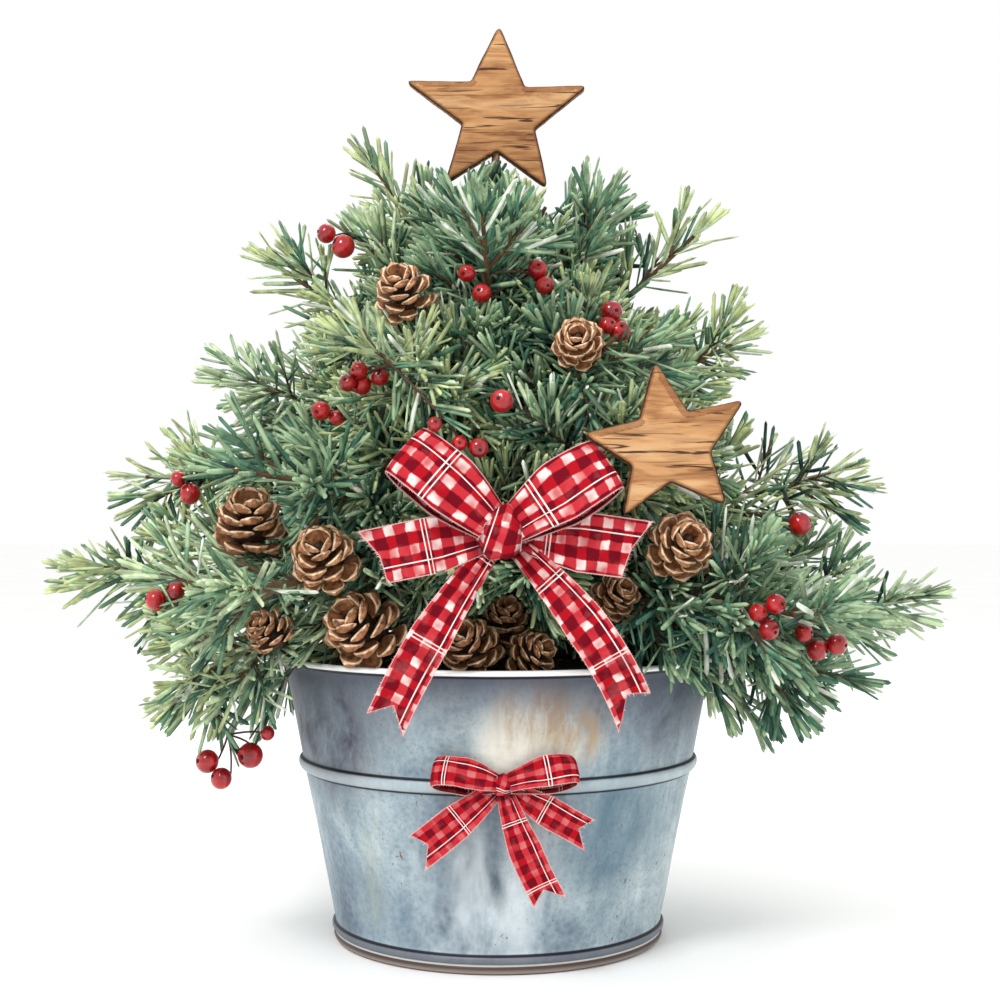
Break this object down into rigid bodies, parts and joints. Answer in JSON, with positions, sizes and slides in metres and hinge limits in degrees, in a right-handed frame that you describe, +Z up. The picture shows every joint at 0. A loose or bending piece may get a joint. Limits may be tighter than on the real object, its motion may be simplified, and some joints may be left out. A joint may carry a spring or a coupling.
{
  "type": "potted christmas tree",
  "caption": "Small conifer dressed as a christmas tree in a round galvanised bucket, with wooden stars, plaid bows, pine cones and red berries.",
  "frame": {"origin": "centre of the bucket's flat underside, on the surface that it stands on", "axes": "+Z up along the bucket's axis, +X to the right and -Y to the front, where the bows and the second star are"},
  "size_m": [0.6324, 0.527, 0.6298],
  "materials": {
    "galvanised": "weathered galvanised sheet steel, mottled blue-grey with pale and rusty patches",
    "soil": "dark moist potting soil with moss and fallen needles",
    "bark": "rough brown bark",
    "needles": "green needles, lighter and yellower at the tips",
    "wood": "bare tan wood with dark grain and burnt brown edges",
    "ribbon": "woven red, dark red and white check ribbon",
    "cone": "dry brown pine cone scales with pale edges"
  },
  "bodies": {
    "root": {"bough_low_1": "bark", "bough_low_2": "bark", "bough_low_3": "bark", "bough_low_4": "bark", "bough_low_5": "bark", "bough_low_6": "bark", "bough_low_7": "bark", "bough_low_8": "bark", "bow_large": "ribbon", "bow_small": "ribbon", "bucket": "galvanised", "cone_back": "cone", "cone_left": "cone", "cone_middle": "cone", "cone_right": "cone", "needles_crest_1": "needles", "needles_crest_2": "needles", "needles_crest_3": "needles", "needles_high_1": "needles", "needles_high_2": "needles", "needles_high_3": "needles", "needles_high_4": "needles", "needles_leader_1": "needles", "needles_leader_2": "needles", "needles_low_1": "needles", "needles_low_2": "needles", "needles_low_3": "needles", "needles_low_4": "needles", "needles_low_5": "needles", "needles_low_6": "needles", "needles_low_7": "needles", "needles_low_8": "needles", "needles_middle_1": "needles", "needles_middle_2": "needles", "needles_middle_3": "needles", "needles_middle_4": "needles", "needles_middle_5": "needles", "needles_middle_6": "needles", "needles_skirt_1": "needles", "needles_skirt_2": "needles", "needles_skirt_3": "needles", "needles_skirt_4": "needles", "needles_skirt_5": "needles", "needles_upper_1": "needles", "needles_upper_2": "needles", "needles_upper_3": "needles", "needles_upper_4": "needles", "needles_upper_5": "needles", "needles_upper_6": "needles", "needles_upper_7": "needles", "soil": "soil", "star_side": "wood", "star_top": "wood", "trunk": "bark"}
  },
  "joints": []
}
